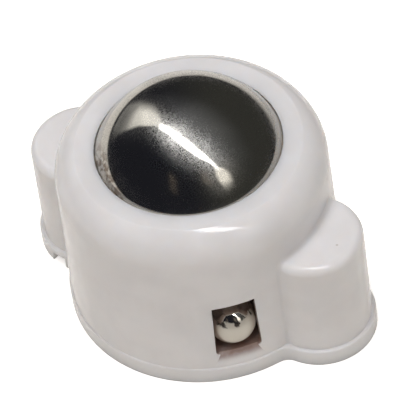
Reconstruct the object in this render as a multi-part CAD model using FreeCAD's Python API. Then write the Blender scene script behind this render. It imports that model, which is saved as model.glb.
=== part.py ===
import FreeCAD, Part
import math
import os

# Ball castor with a 13.5 mm steel ball held in a moulded nylon housing.
# Millimetres, +Z up. The origin is the centre of the flat mounting face at the foot.
# +X runs through the two screw ears, and the ball stands out of the top.

# Main ball, and how far it stands out of the rim
ball_d = 13.494
ball_stand = 3.82
ball_gap = 0.05

# Small support balls
support_d = 3.175
support_gap = 0.03
pocket_angle = -43.5
pocket_count = 3

# Turned outline of the housing, with its draft per side
body_d = 18.14
body_draft = 0.13
body_h = 13.2
body_crown_r = 2.4

# Rim round the top: its radius, its rise over the mouth and its edge
rim_r = 7.45
rim_rise = 0.08
rim_edge_r = 0.15

# Corner broken round the mouth, where the cup closes in over the ball
mouth_break = 0.05
mouth_flare = 0.02

# Screw ears, with their draft per side
ear_pitch = 17.7
ear_d = 6.82
ear_draft = 0.03
ear_h = 9.05
ear_crown_r = 0.58
ear_blend_r = 0.3

# Foot flange
flange_h = 1.25
flange_body_step = 0.09
flange_ear_step = 0.26
flange_blend_r = 1.0
flange_edge_r = 0.12

# Pockets and windows for the support balls
floor_z = 2.45
pocket_h = 4.55
closed_pocket_wall = 1.0
window_hold = 0.04
window_taper = 0.12
window_corner_r = 0.25
window_wall = 0.8
sill_run = 0.3
sill_step = 0.08
sill_flare = 0.2

# Blind screw holes in the ears
screw_hole_d = 1.7
screw_hole_depth = 6.0
screw_hole_lead = 0.2

# Recess at the moulding gate on one ear
gate_angle = -100.0
gate_w = 1.1
gate_h = 0.8
gate_depth = 0.5

ball_r = ball_d / 2
ball_z = body_h + ball_stand - ball_r
support_r = support_d / 2
body_r = body_d / 2
ear_r = ear_d / 2
ear_x = ear_pitch / 2
hole_r = screw_hole_d / 2
socket_r = ball_r + ball_gap
mouth_z = body_h - mouth_break
mouth_r = math.sqrt(socket_r ** 2 - (mouth_z - ball_z) ** 2)
pocket_half_w = support_r + support_gap
pocket_top_z = floor_z + pocket_h
pocket_wall_r = body_r - window_wall
support_z = floor_z + support_gap + support_r
window_half_w = support_r - window_hold
Z = FreeCAD.Vector(0, 0, 1)


def vec(x, y, z):
    return FreeCAD.Vector(x, y, z)


def turned(edges):
    """Revolve a closed profile drawn in the XZ plane about the Z axis."""
    return Part.Face(Part.Wire(edges)).revolve(vec(0, 0, 0), Z, 360)


def line(a, b):
    """Straight profile edge between two (radius, height) points."""
    return Part.makeLine(vec(a[0], 0, a[1]), vec(b[0], 0, b[1]))


def crowned_post(foot_r, top_r, height, crown_r):
    """Slightly tapered round post with a rounded top edge, standing on the XY plane."""
    crown_mid = crown_r * (1 - math.sqrt(0.5))
    shoulder = (top_r, height - crown_r)
    rim = (top_r - crown_r, height)
    crown = Part.Arc(
        vec(shoulder[0], 0, shoulder[1]),
        vec(top_r - crown_mid, 0, height - crown_mid),
        vec(rim[0], 0, rim[1]),
    ).toShape()
    return turned([
        line((0, 0), (foot_r, 0)),
        line((foot_r, 0), shoulder),
        crown,
        line(rim, (0, height)),
        line((0, height), (0, 0)),
    ])


def cup_outside():
    """Body with a rounded shoulder up to its rim, and a top that falls a little to the mouth."""
    top_r = body_r - body_draft
    crown_x = top_r - body_crown_r
    crown_z = body_h + rim_rise - math.sqrt(body_crown_r ** 2 - (rim_r - crown_x) ** 2)
    half_turn = math.acos((rim_r - crown_x) / body_crown_r) / 2
    shoulder = (top_r, crown_z)
    rim = (rim_r, body_h + rim_rise)
    dish = (mouth_r - mouth_break, body_h)
    crown = Part.Arc(
        vec(shoulder[0], 0, shoulder[1]),
        vec(crown_x + body_crown_r * math.cos(half_turn), 0,
            crown_z + body_crown_r * math.sin(half_turn)),
        vec(rim[0], 0, rim[1]),
    ).toShape()
    post = turned([
        line((0, 0), (body_r, 0)),
        line((body_r, 0), shoulder),
        crown,
        line(rim, dish),
        line(dish, (0, body_h)),
        line((0, body_h), (0, 0)),
    ])
    edge = [e for e in post.Edges if e.BoundBox.ZMin > body_h + rim_rise / 2]
    return post.makeFillet(rim_edge_r, edge)


def ear_posts():
    """The two screw ears as full round posts, before they merge with the body."""
    post = crowned_post(ear_r, ear_r - ear_draft, ear_h, ear_crown_r)
    return [post.translated(vec(side * ear_x, 0, 0)) for side in (-1, 1)]


def upper_body():
    """Body and ears in one, with a soft blend in the corners where they meet."""
    whole = cup_outside().multiFuse(ear_posts()).removeSplitter()
    return whole.makeFillet(ear_blend_r, corner_edges(whole, 0.5 * ear_h))


def corner_edges(shape, least_h):
    """The tall upright edges beside the ears, and not a turned face's own seam."""
    def is_corner(box):
        return box.ZLength > least_h and min(abs(box.YMin), abs(box.YMax)) > ear_r / 4
    return [edge for edge in shape.Edges if is_corner(edge.BoundBox)]


def flange():
    """Foot flange that follows body and ears, a little proud of both."""
    disc = Part.makeCylinder(body_r + flange_body_step, flange_h)
    lobe = Part.makeCylinder(ear_r + flange_ear_step, flange_h)
    lobes = [lobe.translated(vec(side * ear_x, 0, 0)) for side in (-1, 1)]
    plate = disc.multiFuse(lobes).removeSplitter()
    plate = plate.makeFillet(flange_blend_r, corner_edges(plate, 0.9 * flange_h))
    rim = [edge for edge in plate.Edges if edge.BoundBox.ZMin > 0.9 * flange_h]
    return plate.makeFillet(flange_edge_r, rim)


def ball_socket():
    """Cup for the main ball, which closes in over it up to the mouth."""
    cup = Part.makeSphere(socket_r, vec(0, 0, ball_z))
    mouth = Part.makeCone(mouth_r, mouth_r + 2 * mouth_flare, 2 * mouth_break, vec(0, 0, mouth_z))
    return [cup, mouth]


def radial_prism(profile, x0, x1):
    """Prism along +X between two distances, over a closed profile of (across, height) points."""
    points = [vec(x0, across, z) for across, z in profile]
    face = Part.Face(Part.makePolygon(points + points[:1]))
    return face.extrude(vec(x1 - x0, 0, 0))


def window():
    """Opening through the wall, a little wider at the foot and with rounded lower corners."""
    low = window_half_w
    high = low - window_taper
    profile = [(-low, floor_z), (low, floor_z), (high, pocket_top_z), (-high, pocket_top_z)]
    opening = radial_prism(profile, 0, body_r + 1)
    feet = [e for e in opening.Edges if e.BoundBox.ZMax < floor_z + 0.01 and e.BoundBox.XLength > 1]
    return opening.makeFillet(window_corner_r, feet)


def sill():
    """Chute from the pocket floor down to the flange top, wider at the outside."""
    base_z = flange_h + sill_step
    rim_z = floor_z + window_corner_r
    top = window_half_w - window_corner_r
    low = window_half_w + sill_flare
    profile = [(-low, base_z), (low, base_z), (top, floor_z), (top, rim_z), (-top, rim_z), (-top, floor_z)]
    chute = radial_prism(profile, pocket_wall_r, body_r + 1)
    ramp = Part.makeCone(body_r, body_r - sill_run, floor_z - base_z, vec(0, 0, base_z))
    return chute.cut(ramp)


def open_pocket():
    """Pocket that ends at the wall, with its window and the sill below it."""
    pocket = Part.makeBox(pocket_wall_r, 2 * pocket_half_w, pocket_h, vec(0, -pocket_half_w, floor_z))
    return [pocket.common(Part.makeCylinder(pocket_wall_r, body_h)), window(), sill()]


def closed_pocket():
    """Pocket with a half-round end, shut by the wall behind the ear."""
    length = closed_reach()
    slot = Part.makeBox(length, 2 * pocket_half_w, pocket_h, vec(0, -pocket_half_w, floor_z))
    end = Part.makeCylinder(pocket_half_w, pocket_h, vec(length, 0, floor_z))
    return [slot.fuse(end).removeSplitter()]


def closed_reach():
    """Centre of the closed pocket's round end, a wall's thickness away from the screw hole."""
    angle = math.radians(pocket_angle + (pocket_count - 1) * 360 / pocket_count - 180)
    along = ear_x * math.cos(angle)
    across = ear_x * math.sin(angle)
    clear = hole_r + closed_pocket_wall + pocket_half_w
    return along - math.sqrt(clear ** 2 - across ** 2)


def screw_hole():
    """Blind pilot hole up into an ear, with a small lead-in at its mouth."""
    hole = Part.makeCylinder(hole_r, screw_hole_depth)
    lead = Part.makeCone(hole_r + screw_hole_lead, hole_r, screw_hole_lead)
    return hole.fuse(lead)


def gate_recess():
    """Small recess where the moulding gate was, at the foot of the -X ear."""
    inner_x = ear_r + flange_ear_step - gate_depth
    notch = Part.makeBox(gate_depth + 1, gate_w, gate_h, vec(inner_x, -gate_w / 2, 0))
    notch.rotate(vec(0, 0, 0), Z, gate_angle)
    return notch.translated(vec(-ear_x, 0, 0))


def housing():
    """The moulded housing with everything that is open in it."""
    solid = upper_body().fuse(flange()).removeSplitter()
    cuts = ball_socket() + [gate_recess()]
    cuts += [screw_hole().translated(vec(side * ear_x, 0, 0)) for side in (-1, 1)]
    for i in range(pocket_count):
        shapes = closed_pocket() if i == pocket_count - 1 else open_pocket()
        for shape in shapes:
            shape.rotate(vec(0, 0, 0), Z, pocket_angle + i * 360 / pocket_count)
            cuts.append(shape)
    return solid.cut(cuts).removeSplitter()


def support_reach(i):
    """Distance of a support ball from the middle when it lies at its pocket's outer end."""
    if i == pocket_count - 1:
        return closed_reach()
    half = window_half_w - window_taper * (support_z - floor_z) / pocket_h
    return math.sqrt(pocket_wall_r ** 2 - half ** 2) - math.sqrt(pocket_half_w ** 2 - half ** 2)


def support_ball(i):
    """One small steel ball, lying on its pocket's floor at the outer end."""
    angle = math.radians(pocket_angle + i * 360 / pocket_count)
    reach = support_reach(i)
    centre = vec(reach * math.cos(angle), reach * math.sin(angle), support_z)
    return Part.makeSphere(support_r, centre)


def save(name, shape):
    """Write one piece as a STEP file."""
    shape.exportStep("parts/" + name + ".step")


os.makedirs("parts", exist_ok=True)
save("housing", housing())
save("main_ball", Part.makeSphere(ball_r, vec(0, 0, ball_z)))
for number in range(pocket_count):
    save("support_ball_%d" % (number + 1), support_ball(number))
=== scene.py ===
"""Looks of a small ball castor: a white nylon housing with a 13.5 mm steel ball in its mouth,
and three small steel balls round it that the big one runs on."""

import math

import bmesh
import bpy
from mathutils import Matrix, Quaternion, Vector


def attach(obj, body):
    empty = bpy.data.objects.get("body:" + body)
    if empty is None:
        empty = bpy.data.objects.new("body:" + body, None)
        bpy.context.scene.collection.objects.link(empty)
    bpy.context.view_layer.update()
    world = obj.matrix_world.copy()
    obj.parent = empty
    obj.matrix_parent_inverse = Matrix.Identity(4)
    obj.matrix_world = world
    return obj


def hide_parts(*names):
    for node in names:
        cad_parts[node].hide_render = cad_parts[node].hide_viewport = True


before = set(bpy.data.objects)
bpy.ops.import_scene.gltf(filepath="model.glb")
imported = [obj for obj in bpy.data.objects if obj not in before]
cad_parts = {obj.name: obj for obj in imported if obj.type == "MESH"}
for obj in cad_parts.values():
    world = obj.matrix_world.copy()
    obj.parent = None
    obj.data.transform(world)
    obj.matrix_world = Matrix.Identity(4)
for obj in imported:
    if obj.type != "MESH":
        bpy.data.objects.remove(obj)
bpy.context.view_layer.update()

# ---- Housing ----------------------------------------------------------------------------
# One injection moulding in natural white nylon: a round cup with a rounded shoulder, two
# screw ears and a low flange. It is the CAD solid itself. Old oil and steel dust from the
# balls have stained the mouth's edge, the pockets and the two sills, and the pockets and
# sills also carry painted shade. Sizes are in mm.
MM = 0.001
MOUTH_RADIUS = 6.18
MOUTH_HEIGHT = 13.0
WALL_RADIUS = 9.03
SILL_FOOT, SILL_TOP = (1.45, 2.3), (3.0, 2.5)
POCKET_FOOT, POCKET_ROOF = (2.2, 2.6), (8.2, 7.0)
OIL_AND_SHADE_DARKEN_UP, OIL_AND_SHADE_DARKEN_LOW = (4.2, 5.4), (3.2, 2.5)
SPECK_PLACE, SPECK_EDGE = (10.92, -0.17, 9.05), (0.11, 0.05)
CLOUD_WIDTH, SINK_WIDTH, SINK_DEPTH = 4.0, 3.0, 0.02
SKIN_WIDTH, SKIN_DEPTH = 0.12, 0.004

SMOOTH = {"interpolation_type": "SMOOTHSTEP"}
COLOURS = {"data_type": "RGBA"}


def linear(hex_colour):
    """A hex sRGB colour as the linear RGBA that the shaders take."""
    parts = [int(hex_colour[i:i + 2], 16) / 255 for i in (1, 3, 5)]
    return [c / 12.92 if c <= 0.04045 else ((c + 0.055) / 1.055) ** 2.4 for c in parts] + [1.0]


def add(tree, kind, inputs=(), **settings):
    """Adds a node, sets its settings and fills its inputs, given in order or by name. A node or
    an output is linked, a hex colour is turned to linear, and anything else is set."""
    made = tree.nodes.new("ShaderNode" + kind)
    for name, value in settings.items():
        setattr(made, name, value)
    for socket, value in inputs.items() if isinstance(inputs, dict) else enumerate(inputs):
        if isinstance(value, bpy.types.Node):
            value = next(output for output in value.outputs if output.enabled)
        if isinstance(value, bpy.types.NodeSocket):
            tree.links.new(value, made.inputs[socket])
        else:
            made.inputs[socket].default_value = linear(value) if isinstance(value, str) else value
    return made


def start_finish(name):
    """An empty material, its node tree, and the place on the piece in mm from its origin."""
    material = bpy.data.materials.new(name)
    material.use_nodes = True
    tree = material.node_tree
    tree.nodes.clear()
    place = add(tree, "VectorMath", {"Vector": add(tree, "TexCoord").outputs["Object"],
                                     "Scale": 1 / MM}, operation="SCALE")
    return material, tree, place


def moulded_nylon():
    """Natural nylon from a spark-eroded mould: off-white, softly glossy, a little lit inside."""
    material, tree, place = start_finish("nylon_moulded_natural_white")
    height = add(tree, "SeparateXYZ", [place]).outputs["Z"]
    flat = add(tree, "VectorMath", [place, (1, 1, 0)], operation="MULTIPLY")
    radius = add(tree, "VectorMath", [flat], operation="LENGTH")

    # The plastic flowed in unevenly, which leaves faint clouds.
    clouds = add(tree, "TexNoise", {"Vector": place, "Scale": 1 / CLOUD_WIDTH, "Detail": 3})
    cloudy = add(tree, "MapRange", [clouds, 0.35, 0.65], **SMOOTH)
    colour = add(tree, "Mix", {0: cloudy, 6: "#E6E4E3", 7: "#ECEAE9"}, **COLOURS)

    # Old oil, with painted shade, runs out over the sills and fades towards the flange.
    inside = add(tree, "MapRange", [radius, WALL_RADIUS, WALL_RADIUS - 0.15], **SMOOTH)
    over_foot = add(tree, "MapRange", [height, *SILL_FOOT], **SMOOTH)
    under_top = add(tree, "MapRange", [height, *SILL_TOP], **SMOOTH)
    on_sill = add(tree, "Math", [over_foot, under_top], operation="MULTIPLY")
    on_sill = add(tree, "Math", [inside, on_sill], operation="MULTIPLY")
    sill_oil_and_shade = add(tree, "TexNoise", {"Vector": place, "Scale": 1 / 0.7, "Detail": 3})
    sill_oil_and_shade = add(tree, "MapRange", [sill_oil_and_shade, 0.2, 0.7, 0.7, 1.0], **SMOOTH)
    sill_oil_and_shade = add(tree, "Math", [on_sill, sill_oil_and_shade], operation="MULTIPLY")
    colour = add(tree, "Mix", {0: sill_oil_and_shade, 6: colour, 7: "#977F78"}, **COLOURS)

    # Oil and steel dust in the pockets, inside the wall and under the ball, with painted shade
    # mixed into its colour: pale where it has run down the walls, brown with painted shade under
    # the roof and where it lies on the floor.
    inside = add(tree, "MapRange", [radius, WALL_RADIUS, WALL_RADIUS - 0.35], **SMOOTH)
    under_roof = add(tree, "MapRange", [height, *POCKET_ROOF], **SMOOTH)
    over_foot = add(tree, "MapRange", [height, *POCKET_FOOT], **SMOOTH)
    in_pocket = add(tree, "Math", [under_roof, over_foot], operation="MULTIPLY")
    in_pocket = add(tree, "Math", [inside, in_pocket], operation="MULTIPLY")
    patches = add(tree, "TexNoise", {"Vector": place, "Scale": 1 / 0.9, "Detail": 3})
    patches = add(tree, "MapRange", [patches, 0.25, 0.75, 0.65, 1.0], **SMOOTH)
    patches = add(tree, "Math", [in_pocket, patches], operation="MULTIPLY")
    darker_up = add(tree, "MapRange", [height, *OIL_AND_SHADE_DARKEN_UP], **SMOOTH)
    oil_and_shade = add(tree, "Mix", {0: darker_up, 6: "#E2D4CE", 7: "#A3908A"}, **COLOURS)
    darker_low = add(tree, "MapRange", [height, *OIL_AND_SHADE_DARKEN_LOW], **SMOOTH)
    oil_and_shade = add(tree, "Mix", {0: darker_low, 6: oil_and_shade, 7: "#8A7468"}, **COLOURS)
    colour = add(tree, "Mix", {0: patches, 6: colour, 7: oil_and_shade}, **COLOURS)

    # Dark oil wiped off by the ball lines the mouth's edge in faint smears.
    at_edge = add(tree, "MapRange", [radius, MOUTH_RADIUS + 0.05, MOUTH_RADIUS], **SMOOTH)
    at_top = add(tree, "MapRange", [height, MOUTH_HEIGHT, MOUTH_HEIGHT + 0.1], **SMOOTH)
    at_edge = add(tree, "Math", [at_edge, at_top], operation="MULTIPLY")
    smears = add(tree, "TexNoise", {"Vector": place, "Scale": 1 / 0.5, "Detail": 4})
    smears = add(tree, "MapRange", [smears, 0.45, 0.65, 0.0, 0.15], **SMOOTH)
    smears = add(tree, "Math", [at_edge, smears], operation="MULTIPLY")
    colour = add(tree, "Mix", {0: smears, 6: colour, 7: "#5E554C"}, **COLOURS)

    # One speck of burnt nylon in the top of the +X ear.
    off_speck = add(tree, "VectorMath", [place, SPECK_PLACE], operation="DISTANCE")
    speck = add(tree, "MapRange", [off_speck, *SPECK_EDGE], **SMOOTH)
    colour = add(tree, "Mix", {0: speck, 6: colour, 7: "#CDC8C4"}, **COLOURS)

    # The mould's spark-eroded skin, drawn coarse enough to show, on shallow sinks.
    skin = add(tree, "TexNoise", {"Vector": place, "Scale": 1 / SKIN_WIDTH, "Detail": 2})
    skin = add(tree, "Bump", {"Strength": 0.12, "Distance": SKIN_DEPTH * MM, "Height": skin})
    sinks = add(tree, "TexNoise", {"Vector": place, "Scale": 1 / SINK_WIDTH, "Detail": 1})
    sinks = add(tree, "Bump", {"Strength": 0.5, "Distance": SINK_DEPTH * MM, "Height": sinks,
                               "Normal": skin})
    gloss = add(tree, "TexNoise", {"Vector": place, "Scale": 1 / 0.8, "Detail": 3})
    gloss = add(tree, "MapRange", [gloss, 0.3, 0.7, 0.08, 0.13], **SMOOTH)
    nylon = add(tree, "BsdfPrincipled",
                {"Base Color": colour, "Roughness": gloss, "Normal": sinks, "IOR": 1.53,
                 "Specular IOR Level": 0.4, "Subsurface Weight": 0.7,
                 "Subsurface Radius": (1.0, 0.9, 0.8), "Subsurface Scale": 1.4 * MM})
    add(tree, "OutputMaterial", {"Surface": nylon})
    return material


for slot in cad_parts["housing"].material_slots:
    slot.material = moulded_nylon()

# ---- Support balls ----------------------------------------------------------------------
# Three 3.175 mm (1/8 inch) bearing balls, ground and lapped chrome steel, loose in their
# pockets. One shows in the front window. Each is a finer mesh in its CAD ball's place, given
# as degrees from the +X ear and mm from the castor's axis.
SUPPORT_RADIUS = 1.5875
SUPPORT_HEIGHT = 4.0675
SUPPORT_PLACES = {"support_ball_1": (-43.5, 7.539), "support_ball_2": (76.5, 7.539),
                  "support_ball_3": (196.5, 6.097)}
GREASE_AND_REFLECTION_TOP, GREASE_AND_REFLECTION_WAVE = (5.14, 5.0), (-0.08, 0.08)
SMUDGE_FOOT, SMUDGE_TOP = (4.7, 4.85), (5.3, 5.1)
RUBBED_PLACE, RUBBED_EDGE = (4.26, -4.35, 3.48), (2.85, 2.7)


def steel_ball(name, middle_mm, radius_mm, rounds, body):
    """A ball as a fine, even mesh of triangles round its middle."""
    shape = bmesh.new()
    bmesh.ops.create_icosphere(shape, subdivisions=rounds, radius=radius_mm * MM)
    mesh = bpy.data.meshes.new(name)
    bmesh.ops.translate(shape, verts=shape.verts, vec=Vector(middle_mm) * MM)
    for face in shape.faces:
        face.smooth = True
    shape.to_mesh(mesh)
    shape.free()
    ball = bpy.data.objects.new(name, mesh)
    bpy.context.scene.collection.objects.link(ball)
    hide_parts(body)
    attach(ball, body)
    return ball


def lapped_steel():
    """Bearing steel lapped to a mirror, its lower part under a pale film of old grease that also
    holds a painted reflection of the pale table.
    """
    material, tree, place = start_finish("chrome_steel_lapped_greased_painted_reflection")
    height = add(tree, "SeparateXYZ", [place]).outputs["Z"]
    marks = add(tree, "TexNoise", {"Vector": place, "Scale": 1 / 0.25, "Detail": 4})
    marks = add(tree, "MapRange", [marks, 0.4, 0.75, 0.04, 0.1], **SMOOTH)
    steel = add(tree, "BsdfPrincipled",
                {"Metallic": 1.0, "Base Color": "#C9C4BC", "Roughness": marks})

    # The film of grease and painted table reflection ends 1 mm above the ball's middle in a wavy
    # line, with dark smudges along it.
    waves = add(tree, "TexNoise", {"Vector": place, "Scale": 1 / 0.35, "Detail": 3})
    waves = add(tree, "MapRange", [waves, 0.3, 0.7, *GREASE_AND_REFLECTION_WAVE], **SMOOTH)
    wavy = add(tree, "Math", [height, waves], operation="ADD")
    grease_and_reflection_share = add(tree, "MapRange", [wavy, *GREASE_AND_REFLECTION_TOP, 0.0, 0.8], **SMOOTH)
    smudges = add(tree, "TexNoise", {"Vector": place, "Scale": 1 / 0.45, "Detail": 2})
    smudges = add(tree, "MapRange", [smudges, 0.52, 0.62], **SMOOTH)
    over_foot = add(tree, "MapRange", [height, *SMUDGE_FOOT], **SMOOTH)
    under_top = add(tree, "MapRange", [height, *SMUDGE_TOP], **SMOOTH)
    along_edge = add(tree, "Math", [over_foot, under_top], operation="MULTIPLY")
    smudges = add(tree, "Math", [smudges, along_edge], operation="MULTIPLY")
    colour = add(tree, "Mix", {0: smudges, 6: "#D6D0C2", 7: "#3A332E"}, **COLOURS)

    # On the front ball's inner side, where it rubs the pocket, the grease is brown.
    off_rubbed = add(tree, "VectorMath", [place, RUBBED_PLACE], operation="DISTANCE")
    rubbed = add(tree, "MapRange", [off_rubbed, *RUBBED_EDGE], **SMOOTH)
    colour = add(tree, "Mix", {0: rubbed, 6: colour, 7: "#9A8A7F"}, **COLOURS)
    # The pale film is old grease with a painted reflection of the pale table in its colour.
    grease_and_painted_reflection = add(tree, "BsdfPrincipled", {"Base Color": colour, "Roughness": 0.4, "IOR": 1.45})
    add(tree, "OutputMaterial", {"Surface": add(tree, "MixShader", [grease_and_reflection_share, steel, grease_and_painted_reflection])})
    return material


lapped = lapped_steel()
for name, (angle, reach) in SUPPORT_PLACES.items():
    turn = math.radians(angle)
    middle = (reach * math.cos(turn), reach * math.sin(turn), SUPPORT_HEIGHT)
    steel_ball(name + "_lapped", middle, SUPPORT_RADIUS, 6, name).data.materials.append(lapped)

# ---- Main ball --------------------------------------------------------------------------
# A 13.494 mm (17/32 inch) chrome steel ball, held by the cup that closes in over it. Rolling
# on hard floors has scuffed its polish, so a lamp spreads into a speckled streak on it.
BALL_RADIUS = 6.747
BALL_HEIGHT = 10.273
SCUFF_WIDTH = 0.06
SCUFF_WAYS = ((0.25, 1, 1), (1, 0.25, 1), (0.7, 0.7, 0.3))
WORN_WIDTH = 2.5
LOW_PART = (13.3, 14.3)
LEFTWARD, LEFT_PART = (-0.788, -0.616, 0), (1.3, 3.0)
TO_SMEAR, SMEARED_PART = (-0.616, -0.788, 0), (5.1, 5.8)
DENT_WIDTH, DENT_DEPTH = 0.07, 0.01


def scuffed_steel():
    """Polished bearing steel, partly broken up by fine criss-cross scuffs."""
    material, tree, place = start_finish("chrome_steel_scuffed")

    # Scuffs some 0.25 mm long in three directions, drawn no finer so that they show.
    scuffs = []
    for stretch in SCUFF_WAYS:
        drawn = add(tree, "VectorMath", [place, stretch], operation="MULTIPLY")
        scuffs.append(add(tree, "TexNoise",
                          {"Vector": drawn, "Scale": 1 / SCUFF_WIDTH, "Detail": 3}))
    crossed = add(tree, "Math", scuffs[:2], operation="MAXIMUM")
    crossed = add(tree, "Math", [crossed, scuffs[2]], operation="MAXIMUM")
    crossed = add(tree, "MapRange", [crossed, 0.36, 0.76], **SMOOTH)

    # They come in patches, and are fewer near the mouth and on the left in the photo.
    worn = add(tree, "TexNoise", {"Vector": place, "Scale": 1 / WORN_WIDTH, "Detail": 2})
    worn = add(tree, "MapRange", [worn, 0.35, 0.65, 0.45, 1.0], **SMOOTH)
    height = add(tree, "SeparateXYZ", [place]).outputs["Z"]
    high = add(tree, "MapRange", [height, *LOW_PART, 0.3, 1.0], **SMOOTH)
    leftward = add(tree, "VectorMath", [place, LEFTWARD], operation="DOT_PRODUCT")
    right = add(tree, "MapRange", [leftward, *LEFT_PART, 1.0, 0.35], **SMOOTH)
    share = add(tree, "Math", [high, right], operation="MULTIPLY")
    share = add(tree, "Math", [worn, share], operation="MULTIPLY")
    share = add(tree, "Math", [crossed, share], operation="MULTIPLY")

    # Brown oil smeared low on the ball, where it meets the mouth.
    to_smear = add(tree, "VectorMath", [place, TO_SMEAR], operation="DOT_PRODUCT")
    smeared = add(tree, "MapRange", [to_smear, *SMEARED_PART], **SMOOTH)
    smear = add(tree, "TexNoise", {"Vector": place, "Scale": 1 / 0.45, "Detail": 5})
    smear = add(tree, "MapRange", [smear, 0.42, 0.62, 0.0, 0.8], **SMOOTH)
    smear = add(tree, "Math", [smeared, smear], operation="MULTIPLY")

    polish = add(tree, "Mix", {0: smear, 6: "#C1BEB6", 7: "#5E4A3A"}, **COLOURS)
    polished = add(tree, "BsdfPrincipled",
                   {"Metallic": 1.0, "Base Color": polish, "Roughness": 0.07})
    dents = add(tree, "TexNoise", {"Vector": place, "Scale": 1 / DENT_WIDTH, "Detail": 2})
    dents = add(tree, "Bump", {"Strength": 0.14, "Distance": DENT_DEPTH * MM, "Height": dents})
    dull = add(tree, "Mix", {0: smear, 6: "#B6B4B0", 7: "#5E4A3A"}, **COLOURS)
    scuffed = add(tree, "BsdfAnisotropic", {"Color": dull, "Roughness": 0.355, "Normal": dents},
                  distribution="BECKMANN")
    add(tree, "OutputMaterial", {"Surface": add(tree, "MixShader", [share, polished, scuffed])})
    return material


steel_ball("main_ball_scuffed", (0, 0, BALL_HEIGHT), BALL_RADIUS, 7,
           "main_ball").data.materials.append(scuffed_steel())

# ---- Table top --------------------------------------------------------------------------
# A plain sheet of white matt card under the castor, which stands loose on it. It is wide
# enough to fill the picture from any side.
SHEET_HALF = 1500


def plain_sheet(name, corners_mm):
    """A flat piece of the studio, given by its corners."""
    shape = bmesh.new()
    shape.faces.new([shape.verts.new(Vector(corner) * MM) for corner in corners_mm])
    mesh = bpy.data.meshes.new(name)
    shape.to_mesh(mesh)
    shape.free()
    sheet = bpy.data.objects.new(name, mesh)
    bpy.context.scene.collection.objects.link(sheet)
    return sheet


def matt_card():
    """White matt card, with a little light of its own to the eye, so that it reads as white."""
    material, tree, _ = start_finish("card_matt_white")
    card = add(tree, "BsdfDiffuse", {"Color": "#F2EEE7"})
    white = add(tree, "Emission", {"Color": "#FFFFFF", "Strength": 0.55})
    white_card = add(tree, "AddShader", [card, white])

    # Steel and glass show that light too, steel a third of it: the photo's ball shows the
    # sheet greyer than the lens does.
    rays = add(tree, "LightPath").outputs
    in_steel = add(tree, "Math", [rays["Is Glossy Ray"], 0.33], operation="MULTIPLY")
    seen = add(tree, "Math", [rays["Is Camera Ray"], in_steel], operation="MAXIMUM")
    seen = add(tree, "Math", [seen, rays["Is Transmission Ray"]], operation="MAXIMUM")
    add(tree, "OutputMaterial", {"Surface": add(tree, "MixShader", [seen, card, white_card])})
    return material


sheet = plain_sheet("table_top", [(-SHEET_HALF, -SHEET_HALF, 0), (SHEET_HALF, -SHEET_HALF, 0),
                                  (SHEET_HALF, SHEET_HALF, 0), (-SHEET_HALF, SHEET_HALF, 0)])
sheet.data.materials.append(matt_card())

# ---- Dark room and its lamps ------------------------------------------------------------
# Past the sheet's pale part the studio is hung with black cloth, which polished steel shows,
# with a tube lamp across overhead, a window to the left and a small lamp to the right. The
# cloth, a haze overhead and two shelves are no lamps but glow dimly with painted light. Only
# reflections meet these pieces; the soft lamp below lights the castor.
PALE_MIDDLE = (-60, -30, 0)
PALE_RADIUS = 110
PALE_FADE = 25
ROOM_RADIUS = 600
ROOM_HOLE = 20
ROOM_SIDES = 96
CLOTH_ABOVE_SHEET = 0.1
CLOTH_PALER_TOWARDS, CLOTH_PALER_OVER = (0.7, 0.7, 0), (-170, 340)
LAMP_DISTANCE = 500


def only_in_reflections(piece):
    """Hides a piece of the studio from all rays but reflected ones."""
    for ray in ("camera", "diffuse", "transmission", "volume_scatter", "shadow"):
        setattr(piece, "visible_" + ray, False)


def black_cloth():
    """Black cloth glowing dimly with painted light, a little warmer and paler behind and to the
    right, over all but the sheet.
    """
    material, tree, place = start_finish("cloth_black_painted_glow")
    side = add(tree, "VectorMath", [place, CLOTH_PALER_TOWARDS], operation="DOT_PRODUCT")
    paler = add(tree, "MapRange", [side, *CLOTH_PALER_OVER], **SMOOTH)
    colour = add(tree, "Mix", {0: paler, 6: "#25262D", 7: "#40403D"}, **COLOURS)
    cloth = add(tree, "Emission", {"Color": colour, "Strength": 1.0})
    off_middle = add(tree, "VectorMath", [place, PALE_MIDDLE], operation="DISTANCE")
    covered = add(tree, "MapRange",
                  [off_middle, PALE_RADIUS - PALE_FADE, PALE_RADIUS + PALE_FADE], **SMOOTH)
    clear = add(tree, "BsdfTransparent")
    add(tree, "OutputMaterial", {"Surface": add(tree, "MixShader", [covered, clear, cloth])})
    return material


def room_walls():
    """A round room over the table, with its cloth lying on the table round the pale sheet."""
    shape = bmesh.new()
    bmesh.ops.create_uvsphere(shape, u_segments=ROOM_SIDES, v_segments=ROOM_SIDES // 2,
                              radius=ROOM_RADIUS * MM)
    bmesh.ops.delete(shape, geom=[v for v in shape.verts if v.co.z < -0.0001], context="VERTS")
    turns = [2 * math.pi * i / ROOM_SIDES for i in range(ROOM_SIDES)]
    inner, outer = [[shape.verts.new((r * MM * math.cos(t), r * MM * math.sin(t),
                                      CLOTH_ABOVE_SHEET * MM)) for t in turns]
                    for r in (ROOM_HOLE, ROOM_RADIUS)]
    for i in range(ROOM_SIDES):
        j = (i + 1) % ROOM_SIDES
        shape.faces.new((inner[i], outer[i], outer[j], inner[j]))
    mesh = bpy.data.meshes.new("dark_room")
    shape.to_mesh(mesh)
    shape.free()
    room = bpy.data.objects.new("dark_room", mesh)
    bpy.context.scene.collection.objects.link(room)
    mesh.materials.append(black_cloth())
    only_in_reflections(room)


def away(azimuth, elevation):
    """A direction away from the castor, in degrees: azimuth from +X towards +Y, and elevation."""
    a, e = math.radians(azimuth), math.radians(elevation)
    return Vector((math.cos(e) * math.cos(a), math.cos(e) * math.sin(a), math.sin(e)))


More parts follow.
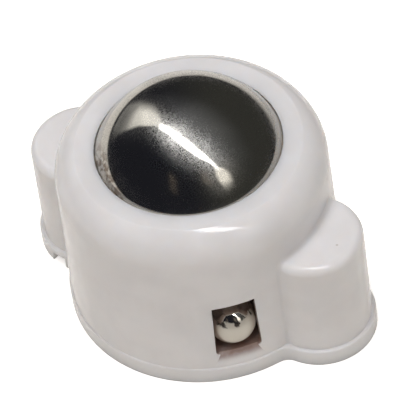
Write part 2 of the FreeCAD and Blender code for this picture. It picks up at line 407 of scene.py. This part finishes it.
def lit_shape(name, rows, strength, colour):
    """A lamp's shape, or a patch of painted glow, in the dark: rows of azimuth, elevation and
    glow, smooth in between.
    """
    shape = bmesh.new()
    glow = shape.verts.layers.float.new("glow")
    grid = []
    for row in rows:
        grid.append([])
        for azimuth, elevation, level in row:
            place = (away(azimuth, elevation) * LAMP_DISTANCE + Vector((0, 0, BALL_HEIGHT))) * MM
            vert = shape.verts.new(place)
            vert[glow] = level
            grid[-1].append(vert)
    for one, two in zip(grid, grid[1:]):
        for j in range(len(one) - 1):
            shape.faces.new((one[j], one[j + 1], two[j + 1], two[j]))
    mesh = bpy.data.meshes.new(name)
    shape.to_mesh(mesh)
    shape.free()
    lit = bpy.data.objects.new(name, mesh)
    bpy.context.scene.collection.objects.link(lit)
    material, tree, _ = start_finish(name + "_glow")
    level = add(tree, "Attribute", attribute_name="glow").outputs["Fac"]
    level = add(tree, "MapRange", [level, 0, 1, 0, strength], **SMOOTH)
    light = add(tree, "Emission", {"Color": colour, "Strength": level})
    clear = add(tree, "BsdfTransparent")
    add(tree, "OutputMaterial", {"Surface": add(tree, "AddShader", [light, clear])})
    mesh.materials.append(material)
    only_in_reflections(lit)


room_walls()
TUBE = [
    [(-176, 57, 0), (178, 57, 0.35), (173, 57, 0.35), (168, 57, 0)],
    [(-171, 64, 0), (-177, 64, 0.8), (177, 65, 0.8), (171, 65, 0)],
    [(-156, 73, 0), (-164, 74, 1), (-173, 75, 1), (175, 75, 0)],
    [(-116, 78, 0), (-123, 80, 1), (-135, 83, 1), (-160, 85, 0)],
    [(-68, 75, 0), (-60, 78, 0.9), (-48, 81, 0.9), (-25, 82, 0)],
    [(-42, 68, 0), (-36, 69, 0.85), (-27, 70, 0.85), (-17, 71, 0)],
    [(-29, 60, 0), (-25, 61, 0.9), (-19, 62, 0.9), (-13, 63, 0)],
    [(-22, 54, 0), (-19, 55, 0.5), (-16, 56, 0.5), (-12, 57, 0)],
    [(-18, 49, 0), (-16, 49, 0.4), (-13, 50, 0.4), (-10, 50, 0)],
    [(-17, 43, 0), (-14, 43, 0.3), (-12, 44, 0.3), (-9, 44, 0)],
    [(-17, 37, 0), (-13, 37, 0), (-10, 37, 0), (-7, 37, 0)],
]
WINDOW = [
    [(156, 47, 0), (163, 53, 0.4), (171, 57, 1), (177, 59, 1), (179, 60, 0)],
    [(150, 33, 0), (158, 41, 0.45), (165, 46, 1), (177, 52, 0.95), (180, 53, 0)],
    [(150, 21, 0), (157, 30, 0.45), (164, 36, 1), (178, 44, 0.8), (-179, 45, 0)],
    [(149, 5, 0), (156, 16, 0.35), (162, 23, 0.65), (177, 34, 0.6), (-179, 35, 0)],
    [(147, -8, 0), (156, 3, 0.25), (163, 14, 0.3), (178, 25, 0.55), (-178, 26, 0)],
    [(148, -14, 0), (157, -4, 0.25), (166, 8, 0.2), (178, 17, 0.3), (-178, 18, 0)],
    [(152, -18, 0), (160, -9, 0.25), (170, 1, 0.22), (177, 8, 0.2), (-177, 11, 0)],
    [(160, -22, 0), (168, -14, 0), (175, -8, 0), (180, -2, 0), (-175, 3, 0)],
]
LAMP = [
    [(-17, 53, 0), (-14, 49, 0), (-12, 45, 0), (-7, 45, 0)],
    [(-20, 44, 0), (-15, 43, 0.8), (-9, 41, 0.8), (-2, 37, 0)],
    [(-23, 38, 0), (-17, 36, 1), (-9, 34, 1), (0, 31, 0)],
    [(-23, 31, 0), (-18, 29, 0.8), (-10, 27, 0.8), (-1, 24, 0)],
    [(-22, 22, 0), (-17, 20, 0.3), (-11, 20, 0.3), (-3, 18, 0)],
    [(-19, 13, 0), (-16, 13, 0), (-12, 13, 0), (-5, 12, 0)],
]
HAZE = [
    [(146, 13, 0), (137, 13, 0), (128, 15, 0)],
    [(164, 52, 0), (137, 49, 0.4), (125, 29, 0)],
    [(173, 71, 0.8), (130, 68, 0.8), (106, 36, 0)],
    [(-35, 83, 1), (60, 74, 0.8), (79, 38, 0)],
    [(-13, 62, 1), (14, 55, 0.6), (50, 27, 0)],
    [(-11, 47, 0.5), (7, 35, 0.3), (33, 10, 0)],
    [(-13, 30, 0), (1, 15, 0), (16, 1, 0)],
]
SHELF_LOW = [
    [(-95, 46, 0), (-89, 50, 0), (-79, 51, 0)],
    [(-90, 38, 0), (-84, 42, 1), (-74, 44, 0)],
    [(-86, 28, 0), (-80, 31, 0.8), (-71, 33, 0)],
    [(-82, 19, 0), (-76, 21, 0), (-69, 23, 0)],
]
SHELF_HIGH = [
    [(-45, 53, 0), (-33, 51, 0), (-21, 47, 0)],
    [(-45, 47, 0), (-34, 45, 0.8), (-21, 43, 0)],
    [(-44, 37, 0), (-34, 36, 1), (-23, 34, 0)],
    [(-41, 28, 0), (-34, 26, 0), (-26, 25, 0)],
]
lit_shape("tube_lamp", TUBE, 15.0, "#FFFFFF")
lit_shape("window_left", WINDOW, 1.65, "#FFFDF8")
lit_shape("lamp_right", LAMP, 1.8, "#FFFBF4")
# The haze and the two shelves are no lamps: their glow is painted light.
lit_shape("haze_overhead_painted_glow", HAZE, 0.2, "#F4F7FF")
lit_shape("shelf_low_painted_glow", SHELF_LOW, 0.12, "#FFE9D0")
lit_shape("shelf_high_painted_glow", SHELF_HIGH, 0.2, "#FFEFE0")

# ---- Lamps ------------------------------------------------------------------------------
# One square soft box hung almost straight above, a little to the front, stands for the tube
# lamp's light on matt surfaces, and a plain pale world for the room round it.
SOFT_BOX_AT = (-72, 81)
SOFT_BOX_DISTANCE = 450
SOFT_BOX_SIZE = 300
SOFT_BOX_WATTS = 1.62
SOFT_BOX_AIM = (0, 0, 8)

towards_box = away(*SOFT_BOX_AT)
panel = bpy.data.lights.new("soft_overhead", "AREA")
panel.shape = "SQUARE"
panel.size = SOFT_BOX_SIZE * MM
panel.energy = SOFT_BOX_WATTS
panel.color = linear("#FCFBFF")[:3]
soft_box = bpy.data.objects.new("soft_overhead", panel)
soft_box.rotation_mode = "QUATERNION"
soft_box.rotation_quaternion = towards_box.to_track_quat("Z", "Y")
soft_box.location = (towards_box * SOFT_BOX_DISTANCE + Vector(SOFT_BOX_AIM)) * MM
soft_box.visible_glossy = False
bpy.context.scene.collection.objects.link(soft_box)

world = bpy.data.worlds.new("plain_pale")
world.use_nodes = True
sky = world.node_tree
sky.nodes.clear()
pale = add(sky, "Background", {"Color": "#F4EFE7", "Strength": 0.21})
add(sky, "OutputWorld", {"Surface": pale})
bpy.context.scene.world = world
bpy.context.scene.view_settings.view_transform = "Standard"

# ---- Camera -----------------------------------------------------------------------------
# A long lens close to 450 mm, from the front right and above, tipped a little to one side.
# It was fitted to the photo's outline, mouth, ears and balls.
CAMERA_PLACE = (133.959, -171.174, 252.301)
CAMERA_AIM = (-2.154, 3.108, 3.353)
CAMERA_TIP = -8.5
LENS_LENGTH = 450
SENSOR_WIDTH = 36

lens = bpy.data.cameras.new("camera")
lens.lens = LENS_LENGTH
lens.sensor_width = SENSOR_WIDTH
camera = bpy.data.objects.new("camera", lens)
camera.location = Vector(CAMERA_PLACE) * MM
back = (Vector(CAMERA_PLACE) - Vector(CAMERA_AIM)).normalized()
tip = Quaternion((0, 0, 1), math.radians(CAMERA_TIP))
camera.rotation_mode = "QUATERNION"
camera.rotation_quaternion = back.to_track_quat("Z", "Y") @ tip
bpy.context.scene.collection.objects.link(camera)
bpy.context.scene.camera = camera
